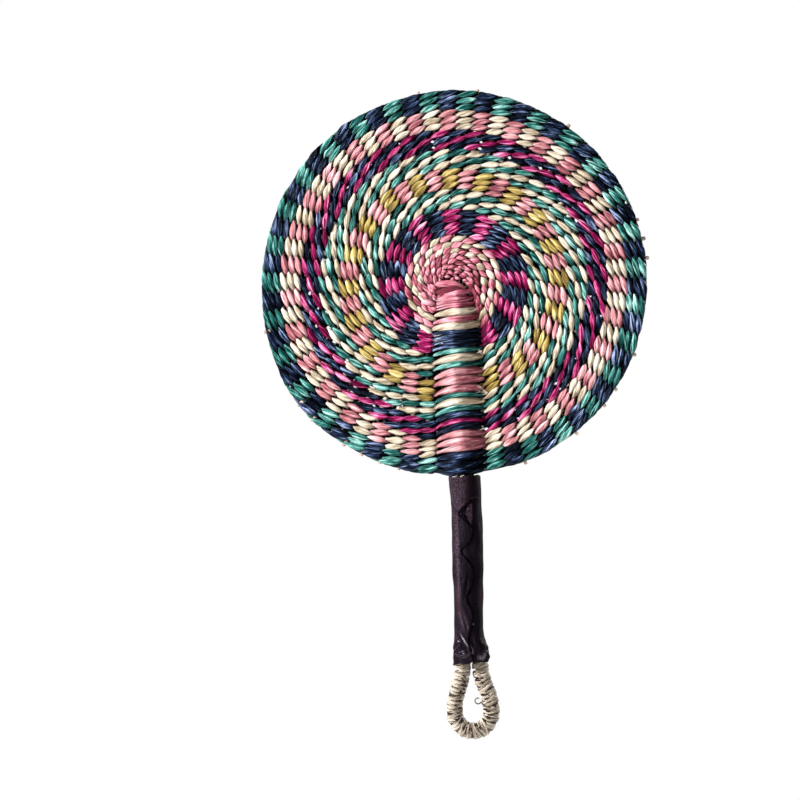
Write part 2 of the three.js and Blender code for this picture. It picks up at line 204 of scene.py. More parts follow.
# Meshes
def add_mesh(name, points, faces, material, uv=None, **attributes):
    """A mesh from points in millimetres, with a UV pair for each corner and a number for each point."""
    mesh = bpy.data.meshes.new(name)
    mesh.from_pydata(((points + EYE) / 1000).tolist(), [], faces.tolist())
    if uv is not None:
        mesh.uv_layers.new(name="along").data.foreach_set("uv", uv.ravel())
    for key, values in attributes.items():
        mesh.attributes.new(key, "FLOAT", "POINT").data.foreach_set("value", values)
    mesh.polygons.foreach_set("use_smooth", np.ones(len(faces), bool))
    mesh.materials.append(material)
    piece = bpy.data.objects.new(name, mesh)
    bpy.context.scene.collection.objects.link(piece)
    return piece


def tube(centre, side, normal, half_width, half_thickness, sides):
    """Points and faces of a closed tube, its corners' UV, and each point's angle round it."""
    count = len(centre)
    turn = 2 * np.pi * np.arange(sides) / sides
    across, out = np.cos(turn), np.sin(turn)
    out = np.where(out > 0, out * 1.1, out * 0.8)
    points = (centre[:, None]
              + side[:, None] * (half_width[:, None] * across)[..., None]
              + normal[:, None] * (half_thickness[:, None] * out)[..., None])
    i, k = np.meshgrid(np.arange(count - 1), np.arange(sides), indexing="ij")
    i, k = i.ravel(), k.ravel()
    step = (k + 1) % sides
    faces = np.stack([i * sides + k, i * sides + step, (i + 1) * sides + step, (i + 1) * sides + k], 1)
    length = np.concatenate([[0], np.cumsum(np.linalg.norm(np.diff(centre, axis=0), axis=1))]) / 10
    uv = np.stack([
        np.stack([length[i], k / sides], 1), np.stack([length[i], (k + 1) / sides], 1),
        np.stack([length[i + 1], (k + 1) / sides], 1), np.stack([length[i + 1], k / sides], 1)], 1)
    return points.reshape(-1, 3), faces, uv, np.tile(turn, count)


def step_at(distance, width):
    """Rises smoothly from 0 to 1 over a width that has zero in its middle."""
    t = np.clip(distance / width + 0.5, 0, 1)
    return t * t * (3 - 2 * t)


def dome(t):
    """The height of a half circle from -1 to 1."""
    return np.sqrt(np.maximum(1 - t ** 2, 0))


def xyz(x, y, z):
    """Points or directions from three coordinates, any of which can be one number."""
    return np.stack(np.broadcast_arrays(x, y, z), 1)


def local(px, py):
    """Millimetres in the fan's plane at a place in the picture."""
    i, j = (np.asarray(px) - EYE_PIXEL[0]) * MM_PER_PIXEL, (EYE_PIXEL[1] - np.asarray(py)) * MM_PER_PIXEL
    return i * math.cos(LEAN) + j * math.sin(LEAN), j * math.cos(LEAN) - i * math.sin(LEAN)


def x_at(px, py):
    return local(px, py)[0]


def z_at(px, py):
    return local(px, py)[1]


def unit(v):
    return v / np.maximum(np.linalg.norm(v, axis=-1, keepdims=True), 1e-9)


def framed(centre, facing):
    """Side and normal vectors along a line, with the normal as near to facing as it can be."""
    along = unit(np.gradient(centre, axis=0))
    normal = unit(facing - (facing * along).sum(1, keepdims=True) * along)
    return np.cross(along, normal), normal


class Bundle:
    """Several tubes that make one mesh."""

    def __init__(self):
        self.points, self.faces, self.uv, self.tone, self.shade = [], [], [], [], []
        self.count = 0

    def add(self, centre, facing, half_width, half_thickness, tone, shade=None, sides=12, rim=7, lit=0.0):
        """Adds a tube, with a list of values along it or one value for its whole length.

        Without a shade, painted shade darkens it where it lies deep between the two faces of the disc, and
        lit lifts that shade again with painted light.
        """
        def along(value):
            return np.broadcast_to(value, len(centre))

        side, normal = framed(centre, facing)
        points, faces, uv, turn = tube(centre, side, normal, along(half_width), along(half_thickness),
                                       sides)
        # Painted shade along the tube's edges, a dark outline that narrows as rim grows
        edge = 1 - 0.8 * np.abs(np.cos(turn)) ** rim
        if shade is None:
            shade = 0.1 + 0.9 * np.clip((np.abs(points[:, 1]) + 0.3) / 1.7, 0, 1) ** 1.4
            shade = shade + (1 - shade) * np.repeat(along(lit), sides)
        else:
            shade = np.repeat(along(shade), sides)
        self.points.append(points)
        self.faces.append(faces + self.count)
        self.uv.append(uv)
        self.tone.append(np.repeat(along(tone), sides))
        self.shade.append(shade * edge)
        self.count += len(points)

    def piece(self, name, material):
        made = add_mesh(name, np.concatenate(self.points), np.concatenate(self.faces), material,
                        np.concatenate(self.uv), tone=np.concatenate(self.tone),
                        shade=np.concatenate(self.shade))
        mesh = bmesh.new()
        mesh.from_mesh(made.data)
        bmesh.ops.holes_fill(mesh, edges=[e for e in mesh.edges if e.is_boundary])
        mesh.to_mesh(made.data)
        mesh.free()
        return made


# The weave
PITCH = 4.4                             # from one row to the next
RING_2_EDGE = 18.3                      # the radius where the second ring begins
HALF_THICKNESS = 1.05                   # of a strand at the top of a stitch
HEIGHT = 2.0                            # of a stitch's middle above the disc's middle
STEPS = 10                              # stations to a stitch, and to a pass over the spine
SPINE_STEPS = 26
WARP = 0.42                             # how much more of a strand lies before the stakes than behind them
CROSSING = 0.38                         # half width where two strands cross
TAPER = 1.35                            # how pointed the ends of a stitch are
RIM = 127                               # the weave's outer radius, and how far it swells at its lower left
RIM_SWELL = 3.2


def table(*pairs):
    """A function that runs straight from each pair of numbers to the next."""
    xs, ys = zip(*pairs)
    return lambda x: np.interp(x, xs, ys)


# Where a row passes the spine: its drop below the eye, and the rib's half width, middle, height and bow.
spine_drop = table((3.6, 3.4), (7.7, 7.6), (12, 11.7), (16.1, 15.4), (18.3, 17.4), (31.5, 31.5),
                   (49.1, 43.6), (62.3, 57), (75.5, 73), (88.7, 85.8), (101.9, 98.5), (115.1, 113.2),
                   (121.7, 121.2), (126.1, 126.6), (133, 132))
rib_half = table((0, 11), (8, 12.3), (17, 13.6), (28, 15.7), (40, 16.5))
rib_middle = table((0, -3.4), (11, -1), (25, 0))
rib_height = table((0, 3.6), (8, 5.4), (17, 6.9), (28, 7.8))
rib_bow = table((40, 0), (57, -2), (98, -2.5), (108, -1), (118, 1.5), (128, 3))
# Where the rib's ridge is across it, from -1 to 1, and how far from the spine a row is still bent by it
rib_fold = table((10, 0.2), (20, 0.12), (28, -0.2), (43, -0.2), (47, 0.06), (54, 0.06), (59, -0.22),
                 (62, -0.22), (88, -0.12), (98, 0.02), (125, -0.1))
calm = table((5, 2.5), (12, 5), (25, 11), (40, 14))
# The innermost rows go round a point beside the disc's middle.
off_centre = table((5, 1), (12, 0.7), (20, 0.3), (27, 0))
TRUE_EYE = np.array([-3.7, 3.35])


def bulge(share):
    """The rim's swelling, from 0 to 1, at a share of the way round."""
    return np.exp(-((share - 0.86) / 0.07) ** 2)


def row(start, end, stitches, sway, half_width, over_spine=True, swell=0.0):
    """One turn of a row from one radius to another, from the spine's left edge round to it again.

    Gives each station's stitch, place, height, half width and sway, and whether it is on the spine.
    """
    u = np.concatenate([np.linspace(-0.5, 0.5, SPINE_STEPS, endpoint=False),
                        np.linspace(0.5, stitches - 0.5, (stitches - 1) * STEPS, endpoint=False)])
    t = np.sin(np.pi * np.clip(u, -0.5, 0.5))
    share = np.clip((u - 0.5) / (stitches - 1), 0, 1)
    radius = start + (end - start) * share ** 3 + swell * bulge(share)
    middle = TRUE_EYE * off_centre(radius)[:, None]

    def edge(r, hand):
        drop = spine_drop(r)
        return np.array([rib_middle(drop) + hand * rib_half(drop), -(drop - rib_bow(drop) - hand * 0.5)])

    drop = spine_drop(start)
    over = np.stack([rib_middle(drop) + rib_half(drop) * t, -(drop - rib_bow(drop) * t ** 2 - 0.5 * t)], 1)
    first_from = edge(start, 1) - TRUE_EYE * off_centre(start)
    last_from = edge(end, -1) - TRUE_EYE * off_centre(end)
    angle_first = math.atan2(first_from[0], -first_from[1])
    angle_last = math.atan2(-last_from[0], -last_from[1])
    angle = angle_first + (2 * np.pi - angle_first - angle_last) * share
    near_first = np.exp(-(radius * (angle - angle_first) / calm(start)) ** 2)
    near_last = np.exp(-(radius * (2 * np.pi - angle_last - angle) / calm(end)) ** 2)
    reach = (radius + (np.linalg.norm(first_from) - start) * near_first
             + (np.linalg.norm(last_from) - end) * near_last)
    away = middle + np.stack([reach * np.sin(angle), -reach * np.cos(angle)], 1)
    in_spine = u < 0.5
    if over_spine:
        plan = np.where(in_spine[:, None], over, away)
        crest = np.where(in_spine, rib_height(drop), HEIGHT)
    else:
        angle = 2 * np.pi * u / stitches
        plan = middle + radius[:, None] * np.stack([np.sin(angle), -np.cos(angle)], 1)
        crest = np.full(len(u), HEIGHT)
        in_spine = np.zeros(len(u), bool)
    spacing = spine_drop(start + PITCH / 2) - spine_drop(start - PITCH / 2)
    width = np.where(in_spine, 0.58 * spacing, half_width)
    sway = np.where(in_spine, min(1.5, 0.33 * spacing), sway)
    return u, plan, crest, width, sway, in_spine


def flattened(cos, sin):
    """A wave's height, with its tops and bottoms made flat."""
    return cos / np.sqrt(cos ** 2 + 0.22 * sin ** 2)


def rolled(outward, cos, sin, more=0.0):
    """The way a strand faces as it rolls from the front to the back."""
    roll = np.arctan2(0.55 * sin, cos) + more
    return xyz(-outward[:, 0] * np.sin(roll), -np.cos(roll), -outward[:, 1] * np.sin(roll))


def woven(bundle, rows, phase, spine_width=1.0, painted_windward_light=0.12):
    """Adds one strand that goes through the rows, before and behind the stakes in turn."""
    stations = []
    passed = 0
    for start, end, stitches, *rest in rows:
        u, *others = row(start, end, stitches, *rest)
        left_edge = np.exp(-(np.minimum(np.abs(u + 0.5), np.abs(u + 0.5 - stitches)) / 0.16) ** 2)
        stations.append((u + passed, *others, np.sin(np.pi * np.clip(u, -0.5, 0.5)), left_edge))
        passed += stitches
    s, plan, crest, width, sway, in_spine, across, left_edge = map(np.concatenate, zip(*stations))
    stitch = np.floor(s + 0.5).astype(int)
    blend = np.clip((s - stitch) * 1.6 + 0.5, 0, 1)

    def varied(spread):
        """A random number for each stitch, run smoothly from one stitch to the next."""
        values = rng.normal(0, spread, passed + 3)
        return values[stitch] * (1 - blend) + values[stitch + 1] * blend

    plain_turn = np.pi * s + phase
    plain_sin = np.sin(plain_turn)
    turn = plain_turn - np.where(in_spine, 0, WARP) * plain_sin
    cos, sin = np.cos(turn), np.sin(turn)

    # Over the spine the strand rises to the ridge, and falls off steeply on its lee, the right.
    fold = rib_fold(-plan[:, 1])
    lee = across > fold
    off_ridge = np.abs(across - fold) / np.where(lee, 1 - fold, 1 + fold)
    fall = np.where(lee, 0.97 * off_ridge ** 1.08, 0.6 * off_ridge ** 1.35)
    arch = np.sign(cos) * (1 - fall) * np.clip(1 - off_ridge ** 12, 0, 1) ** 0.5

    wave = np.arcsin(0.96 * plain_sin) / math.asin(0.96)
    heading = unit(np.gradient(plan, axis=0))
    outward = np.stack([heading[:, 1], -heading[:, 0]], 1)
    x, z = (plan - outward * (sway * wave * (1 + varied(0.12)) - varied(0.3))[:, None]).T
    tall = crest * (1 + np.where(in_spine, 0.03, 0.1) * varied(1.0))
    centre = xyz(x, -tall * np.where(in_spine, arch, flattened(cos, sin)), z)
    facing = rolled(outward, cos, sin, varied(0.16))
    open_share = np.abs(cos) ** np.where(in_spine, np.where(lee, 0.4, 0.85), TAPER)
    width = width * np.where(in_spine, spine_width, 1.1)
    pinch = CROSSING + 0.75 * left_edge
    half_width = (pinch + (width - pinch) * open_share) * (1 + varied(0.1))
    half_thickness = (HALF_THICKNESS + 0.25 * (1 - np.abs(cos)) ** 2) * (1 + varied(0.1))
    ends = np.clip(np.minimum(s - s[0], s[-1] - s) * 6 + 0.15, 0, 1) ** 0.5

    # Painted light and shade: the wraps are painted lighter left of the rib's ridge and darker on its lee,
    # and the rows right of the spine carry its painted shadow. The rows are also darker in a spot on the
    # left of the eye.
    tone = 0.52 + varied(0.2) * np.where(in_spine, 0.5, 1)
    sides = np.where(lee, -0.42 * np.clip(off_ridge * 1.5, 0, 1), painted_windward_light)
    plan_x, plan_z = plan.T
    off_rib = np.maximum(plan_x - rib_middle(-plan_z) - rib_half(-plan_z), 0)
    rib_shadow = np.exp(-(off_rib / 4.2) ** 2) * ~in_spine * (plan_x > 5) * (plan_z < -1)
    tone = tone + in_spine * np.sign(cos) * sides - (0.3 + 0.45 * (plan_z > -45)) * rib_shadow
    tone = tone - 0.35 * np.exp(-((plan_x + 15) / 4) ** 2 - ((plan_z + 6) / 6) ** 2)
    # Painted light lifts the painted shade where the strands cross at the spine's left edge
    bundle.add(centre, facing, half_width * ends, half_thickness * ends, tone, lit=0.35 * left_edge)

    # On the back of the disc the strand spreads past its crossings too.
    turn = plain_turn + WARP * plain_sin
    cos, sin = np.cos(turn), np.sin(turn)
    centre = xyz(x, 0.15 - tall * flattened(cos, sin), z)
    facing = rolled(outward, cos, sin)
    half_width = 1.05 * (CROSSING + (width - CROSSING) * np.abs(cos) ** TAPER)
    behind = np.flatnonzero((cos < -0.02) & ~in_spine)
    for run in np.split(behind, np.flatnonzero(np.diff(behind) > 1) + 1):
        if len(run) > 5:
            taper = 1 - 0.85 * np.linspace(-1, 1, len(run)) ** 8
            bundle.add(centre[run], facing[run], half_width[run] * taper, half_thickness[run] * taper,
                       tone[run])


# Rings from the second out: rows, stitches, sway, half width, colour before the spine, other colour
RINGS = [
    (3, 21, 1.0, 2.05, "cream", "pink"),
    (4, 22, 1.25, 2.1, "navy", "magenta"),
    (3, 33, 1.75, 2.0, "teal", "cream"),
    (3, 38, 1.6, 2.1, "pink", "yellow"),
    (3, 45, 1.75, 2.0, "teal", "cream"),
    (3, 53, 1.7, 1.92, "navy", "magenta"),
    (3, 60, 1.5, 2.1, "pink", "cream"),
    (3, 60, 1.3, 2.1, "navy", "teal"),
]
# How wide a strand is on the spine, and how much a ring's wraps are painted lighter left of the ridge
# (darker where below zero)
SPINE_WIDTH = {(2, "cream"): 1.15, (4, "teal"): 0.88, (4, "cream"): 1.3, (6, "teal"): 0.95,
               (6, "cream"): 1.2, (7, "magenta"): 0.8, (7, "navy"): 1.1}
PAINTED_WINDWARD_LIGHT = {2: -0.2, 3: 0.24, 4: 0.2, 6: -0.12, 7: 0.02}
radius = RING_2_EDGE + PITCH / 2
centre_rows = [(3.6, 7.7, 6, 0.6, 1.3, False), (7.7, 12.0, 9, 0.8, 1.45), (12.0, 16.1, 13, 0.85, 1.5),
               (16.1, radius, 17, 0.9, 1.55)]
pieces = {}
centre = Bundle()
woven(centre, centre_rows, 0.0)
woven(centre, centre_rows, math.pi)
for number, (rows, stitches, sway, half_width, front, back) in enumerate(RINGS, start=2):
    route = []
    for k in range(rows):
        start, end = radius + PITCH * k, radius + PITCH * (k + 1)
        if number < 9:
            route.append((start, end, stitches, sway, half_width))
        else:
            # The rim's rows swell out in turn, and the last one closes on the row below it.
            end = end - 3.0 if k == 2 else end
            route.append((start, end, stitches, sway, half_width, True, (0.5, 0.9, RIM_SWELL)[k]))
    for tint, phase in ((front, 0.0), (back, math.pi)):
        if number == 2 and tint == "pink":
            woven(centre, route, phase, 0.85)
            continue
        bundle = Bundle()
        woven(bundle, route, phase, SPINE_WIDTH.get((number, tint), 1.0), PAINTED_WINDWARD_LIGHT.get(number, 0.12))
        node = f"ring_{number}_{tint}_strand"
        pieces[node] = bundle.piece(node.replace("strand", "weave"), STRAW[tint])
    radius += rows * PITCH

# The wide first wrap over the tips of the stalks, on both faces
t = np.linspace(-1, 1, 40)
open_share = dome(t) ** 0.7
band = xyz(-3.9 + 10.6 * t, -4.4 * dome(t) ** 0.9,
           -0.6 - 4.0 * np.clip(t, 0, 1) ** 2 + 0.2 * np.clip(-t, 0, 1))
facing = xyz(0.75 * np.clip(t, -0.3, 1), -1, 0.35)
# Painted shade darkens the band towards its tucked ends and on its right, past the ridge
for hand in (1, -1):
    centre.add(band * (1, hand, 1), facing * (1, hand, 1), 0.3 + 2.3 * open_share, 0.3 + 0.5 * open_share,
               0.6 - 0.3 * step_at(t - 0.3, 0.6), 0.3 + 0.7 * open_share)

# The thin wraps under it: the upper ones painted dark as the band's shadow, the lower ones painted light
# left of the ridge and shaded on its right, with painted shade at their ends
t = np.linspace(-1, 1, 30)
slope = 0.25 * np.clip(0.2 - t, 0, 2) ** 1.4 + 0.75 * np.clip(t - 0.2, 0, 2)
facing = xyz(0.3 * step_at(t - 0.2, 0.2), -1, 0.15)
for k in range(-2, 9):
    drop = 5.0 + 1.4 * k + rng.normal(0, 0.25)
    half = rib_half(drop) * rng.uniform(0.8, 0.92)
    ridge = rib_height(drop) * (1 - slope) + 0.2 + 0.25 * (k % 2)
    line = xyz(rib_middle(drop) - 1.2 + half * t, -ridge * np.clip(1.02 - t ** 8, 0, 1) ** 0.5,
               -drop + rng.uniform(0.7, 1.4) * t - 1.1 * t ** 2 + 0.5)
    slim = rng.uniform(0.75, 1.05) * (0.15 + 0.85 * dome(t))
    tone = 0.1 - 0.25 * np.clip(t + 0.5, 0, 1)
    if k > 2:
        tone = 1.0 - 0.55 * np.clip(t + 0.6, 0, 0.85) - 0.45 * step_at(t - 0.3, 0.14)
    centre.add(line, facing, slim, 0.4 * slim + 0.1, tone + rng.uniform(-0.12, 0.12),
               0.35 + 0.65 * np.clip(1.1 - t ** 4, 0, 1), 10, 3)


def short_stitch(px, py, lean, half, count, low, rise, wide):
    """Middle line and half width of a stitch of its own, leaning by degrees above the right."""
    x, z = local(px, py)
    t = np.linspace(-1, 1, count)
    lean = math.radians(lean)
    line = xyz(x + half * t * math.cos(lean), -low - rise * (1 - t ** 2), z + half * t * math.sin(lean))
    return line, 0.15 + wide * (1 - t ** 2) ** 0.6


# The knot at the eye, on both faces
for px, py, lean, half in (
        (447.5, 277, 10, 1.9), (457, 272.6, 20, 1.8), (457.6, 278.6, -15, 1.7), (464.6, 274.8, -30, 1.9),
        (465.2, 280.6, -10, 1.5), (471.6, 280.6, -50, 1.8), (452, 267.2, 12, 1.9), (444.4, 272, 25, 1.8),
        (440.2, 276.4, 60, 1.6), (460.6, 267.6, -5, 1.8), (452.4, 279.4, 35, 1.3), (451.4, 273.4, -10, 1.6),
        (468.4, 269.6, -35, 1.8), (471.8, 275.6, -60, 1.6)):
    line, slim = short_stitch(px, py, lean + rng.normal(0, 8), half, 11, 2.2 - rng.normal(0, 0.12), 1.1,
                              rng.uniform(0.85, 1.1))
    shine = rng.uniform(0.2, 0.65)
    for hand in (1, -1):
        centre.add(line * (1, hand, 1), FRONT * hand, slim, 0.8 * slim, shine, sides=10)
# Larger stitches left of the spine's top
for px, py, lean, half, wide, tone in (
        (433.2, 287.4, -38, 2.7, 1.35, 0.55), (430.6, 294.6, -52, 2.6, 1.35, 0.5),
        (434.2, 296.6, -30, 1.9, 1.1, 0.4), (428.4, 303.0, -15, 4.8, 2.0, 0.85),
        (424.8, 296.4, -58, 3.4, 1.6, 0.55), (434.6, 309.4, -20, 2.4, 1.3, 0.45)):
    line, slim = short_stitch(px, py, lean, half, 13, 2.6, 1.2, wide)
    centre.add(line, FRONT, slim, 0.3 + 0.4 * slim, tone)
pieces["centre_pink_strand"] = centre.piece("centre_pink_weave", STRAW["centre"])

for node, piece in pieces.items():
    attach(piece, "root")
    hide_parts(node)


# Stakes and the packing between them
# Straws that the strands go round, and the fibres that fill the rows between them, coloured near black as
# painted shade in the gaps.
stakes = Bundle()
inner = RING_2_EDGE
for number, (rows, stitches, *_) in enumerate(RINGS, start=2):
    outer = inner + rows * PITCH
    shown = number == 7                 # its stakes are seen between the dark stitches
    for place in range(1, stitches):
        share = (place - 0.5) / (stitches - 1)
        last = outer + 0.5
        if number == 9:
            last = RIM + 0.9 + RIM_SWELL * bulge(share) if 0.03 < share < 0.97 else RIM - 0.5
        reach = np.linspace(7.5 if number == 2 else inner - 2.5, last, 12)
        edge = np.arcsin(np.clip(rib_half(spine_drop(reach)) / reach, 0, 0.9))
        angle = edge + (2 * np.pi - 2 * edge) * share
        line = xyz(reach * np.sin(angle), 0, -reach * np.cos(angle))
        # Painted shade darkens the stakes under the strands; those seen between rows, some in ring 3, and
        # the ends at the rim are left unshaded
        stake_shade = 1.0 if shown or number == 3 and rng.random() < 0.3 else 0.12
        stakes.add(line, FRONT, 1.6 if shown else 1.15, 1.3 if shown else 0.95,
                   rng.normal(0.75 if shown else 0.5, 0.2),
                   np.where(reach > max(RIM, last - 2), 1.0, stake_shade), 8)
    inner = outer
# Their ends at the rim
for place in range(2, 58):
    share = place / 59
    if rng.random() < (0.12 if 0.3 < share < 0.8 else 0.6):
        angle = 0.13 + (2 * np.pi - 0.26) * share
        reach = np.linspace(RIM + 0.4, RIM + 3.3 + RIM_SWELL * bulge(share) + rng.uniform(-0.2, 0.7), 6)
        stakes.add(xyz(reach * np.sin(angle), -0.7, -reach * np.cos(angle)), FRONT,
                   rng.uniform(1.0, 1.5) * np.array([1, 1, 1, 1, 1, 0.7]), 0.9,
                   rng.uniform(0.15, 0.35), 1.0, 10, 30)
inserted = [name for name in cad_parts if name.startswith("inserted_stake")]
stake_piece = stakes.piece("stake_straws", STRAW["stake"])
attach(stake_piece, "root")
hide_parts("base_stakes", *inserted)

packing, core_packing = Bundle(), Bundle()
t = np.linspace(-1, 1, 24)
# A dark spindle under the knot, in the centre's painted shade colours
ground = xyz(TRUE_EYE[0] + 6.4 * t, -2.15, TRUE_EYE[1] + 0.6 * t)
core_packing.add(ground, FRONT, 0.1 + 4.4 * dome(t), 0.35, 0.35, 0.6, 16)
for radius in np.arange(1.1, RIM, PITCH / 2):
    shift_x, shift_z = TRUE_EYE * off_centre(radius)
    start = 0.0
    while start < 2 * np.pi:
        gap = rng.random() < (0.36 if 88 < radius < 102 else 0.03 if radius > 50 else 0)
        stop = start + (rng.uniform(3.0, 6.0) if gap else rng.uniform(6, 20)) / radius
        if not gap:
            angle = np.linspace(start - 0.5 / radius, min(stop, 2 * np.pi) + 0.5 / radius, 8)
            reach = radius + RIM_SWELL * (radius / RIM) ** 8 * bulge(angle / (2 * np.pi))
            (core_packing if radius < 31 else packing).add(
                xyz(shift_x + reach * np.sin(angle), 0, shift_z - reach * np.cos(angle)), FRONT,
                1.9 if 112 <= radius < 124 else 1.3, 0.45, 0.3, 0.5, 6)
        start = stop
for name, bundle, material in (("inner_shade_fibres", packing, "fibre"), ("centre_shade_fibres", core_packing, "core")):
    packing_piece = bundle.piece(name, STRAW[material])
    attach(packing_piece, "root")


# Stalks of the spine
# The bundle's half width, half depth and middle, by the drop below the eye.
stalks = Bundle()
stalk_half = table((4, 6), (16, 9), (40, 11), (118, 11), (125, 7.4), (130, 7.0), (136, 6.4), (250, 6.2))
stalk_high = table((4, 0.5), (16, 2.5), (40, 3.2), (118, 3.2), (127, 3.6), (131, 6.4), (136, 6.6),
                   (250, 6.2))
stalk_middle = table((4, -3), (25, 0), (120, 0), (128, -0.8), (135, 0.3), (150, 1.3), (250, 1.3))
for ring, count in ((1.0, 22), (0.62, 12), (0.25, 5)):
    for k in range(count):
        angle = 2 * np.pi * (k + rng.uniform(-0.2, 0.2)) / count
        top = 6 + 18 * abs(math.cos(angle)) * rng.uniform(0.5, 1) * ring
        drop = np.linspace(top, 249, 60)
        twist = angle + 0.1 * np.sin(drop / 30 + k)
        line = xyz(stalk_middle(drop) + ring * stalk_half(drop) * np.cos(twist),
                   -ring * stalk_high(drop) * np.sin(twist), -drop)
        # Painted shade keeps the stalks dark, as the weave and the leather cover them
        stalks.add(line, xyz(np.cos(twist), -np.sin(twist), 0), 1.25, 1.1, rng.uniform(0.3, 0.75), 0.12, 8)
stalk_piece = stalks.piece("spine_bundle", STRAW["stalk"])
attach(stalk_piece, "root")
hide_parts("spine_stalks")


# Leather grip
GRIP_TOP, GRIP_FOOT = -129.5, -255.6
LAP_TOP = -150.5
COLUMNS, ROWS = 280, 340
INSIDE_STEP = -38                       # inside, one row in 38 is enough
SKIN = 1.2


def curve(*places, upright=True):
    """A table of one picture coordinate of an edge against the other, both in millimetres."""
    xs, zs = local(*zip(*places))
    key, value = (zs, xs) if upright else (xs, zs)
    order = np.argsort(key)
    return lambda at: np.interp(at, key[order], value[order])


left_side = curve((447.2, 475), (448.2, 487), (449.6, 496), (450.1, 503), (450.7, 515), (451.5, 530),
                  (451.8, 560), (452.2, 578), (453.4, 600), (454, 620), (453.7, 635), (453, 650),
                  (452.6, 668))
right_side = curve((480.6, 475), (481.6, 500), (482.1, 515), (483.7, 530), (483.5, 560), (483.4, 600),
                   (483.8, 628), (484.8, 637), (487.1, 645), (489.5, 652), (489.9, 659), (489.4, 668))
lap = curve((460.5, 512.5), (463.5, 515.5), (467, 520.5), (470.5, 525.5), (472.4, 530), (471.2, 536.6),
            (465.6, 545), (460.5, 549.8), (464.2, 556.3), (469.5, 562.2), (473.4, 569), (474, 575.4),
            (472.3, 581), (469.2, 588), (466.4, 595.7), (467.6, 602), (471, 608), (472.7, 615),
            (471.3, 625), (469.1, 631), (468, 640), (470, 650), (473, 660))
lapel = curve((444, 496), (451, 500), (454, 504.5), (456.5, 509), (458.6, 511.8), (461.6, 508.2),
              (466, 503), (470.5, 498.8), (481, 496.4), (486, 496), upright=False)
hollow_left = curve((470.6, 499), (462, 507.6), (458.8, 511.2), (458.4, 513), (460.4, 516), (463.8, 519.6),
                    (467.6, 523.4), (471, 526.4))
eye_left = curve((471.5, 500.5), (468.4, 505), (466.2, 510), (466, 515), (467.9, 520), (471, 526))
eye_right = curve((471.5, 499.5), (472.8, 505), (473.2, 511), (472.8, 518), (471, 526))

# Soft spots of the leather: weight, place in the picture, half width, half length and lean
FOLDS = (
    (0.5, 459, 546, 0.7, 2.6, 25), (0.4, 456.5, 551, 0.7, 3.0, 30), (-0.5, 457.6, 548.5, 0.6, 2.6, 28),
    (-0.6, 463, 552, 1.4, 3.4, 15), (0.45, 464, 583, 1.0, 6.0, 12), (-0.5, 466.5, 586, 0.9, 7.0, 10),
    (0.4, 461, 604, 1.0, 6.0, -14), (0.5, 465.5, 610, 0.9, 5.5, -24), (-0.5, 467.8, 613, 0.7, 5.0, -24),
    (0.45, 468.5, 625, 0.8, 5.0, 10), (0.8, 464, 640, 0.7, 3.4, -28), (-0.7, 462, 643, 0.8, 3.6, -28),
    (0.5, 458.5, 640, 0.6, 2.2, -20), (0.7, 482.5, 656, 2.0, 2.6, 20), (-0.6, 456.5, 647, 0.45, 2.6, 38),
    (0.5, 458.2, 646, 0.45, 2.6, 38), (-0.6, 466.6, 648.5, 0.5, 2.6, -35),
    (0.5, 468.4, 649.5, 0.5, 2.4, -35), (-0.5, 460.2, 650.6, 0.5, 2.6, 70), (-0.4, 457, 630, 0.5, 4.5, 12),
    (0.4, 458.6, 628, 0.5, 4.5, 12), (-0.5, 469.4, 634, 0.5, 3.0, 20), (-0.6, 477.5, 652, 1.0, 4.5, 10),
    (-0.9, 473.5, 645, 1.2, 5.0, -8))
# Painted glints: highlights put into the leather's colour
GLINTS = (
    (1.0, 464.6, 640, 0.35, 3.4, -28), (0.08, 461.5, 620, 0.6, 6, -14), (0.1, 466.4, 622, 0.5, 5, -14),
    (0.7, 459, 640.6, 0.45, 0.4), (0.8, 472.5, 652.2, 0.4, 0.8, -10), (0.5, 463.6, 652.7, 0.5, 0.4),
    (0.5, 473.6, 623.5, 0.4, 0.5), (0.3, 472.3, 648.5, 0.5, 2.4, -20), (0.45, 484.2, 656, 1.1, 2.6, 20),
    (0.3, 480.5, 658, 1.6, 1.4, 40), (0.05, 458, 646, 0.35, 2.0, 38), (0.06, 468.6, 649.6, 0.35, 2.0, -35))
# Painted shade in hollows at the foot
SHADE_SPOTS = ((0.4, 461, 653, 7, 7), (0.6, 476, 644, 3.2, 9, -8))
POLISH = ((1.2, 464, 640, 2.2, 4.5, -28), (1.0, 482.5, 656, 3.2, 3.6), (0.2, 463, 652, 7, 4))


def spot(x, z, px, py, wide, tall, lean=0.0):
    """A soft spot round a place in the picture, leaning by degrees from upright to the right."""
    cx, cz = local(px, py)
    a = math.radians(lean)
    along = (x - cx) * math.sin(a) + (z - cz) * math.cos(a)
    across = (x - cx) * math.cos(a) - (z - cz) * math.sin(a)
    return np.exp(-(across / wide) ** 2 - (along / tall) ** 2)


def spots(x, z, rows):
    return sum(weight * spot(x, z, *place) for weight, *place in rows)


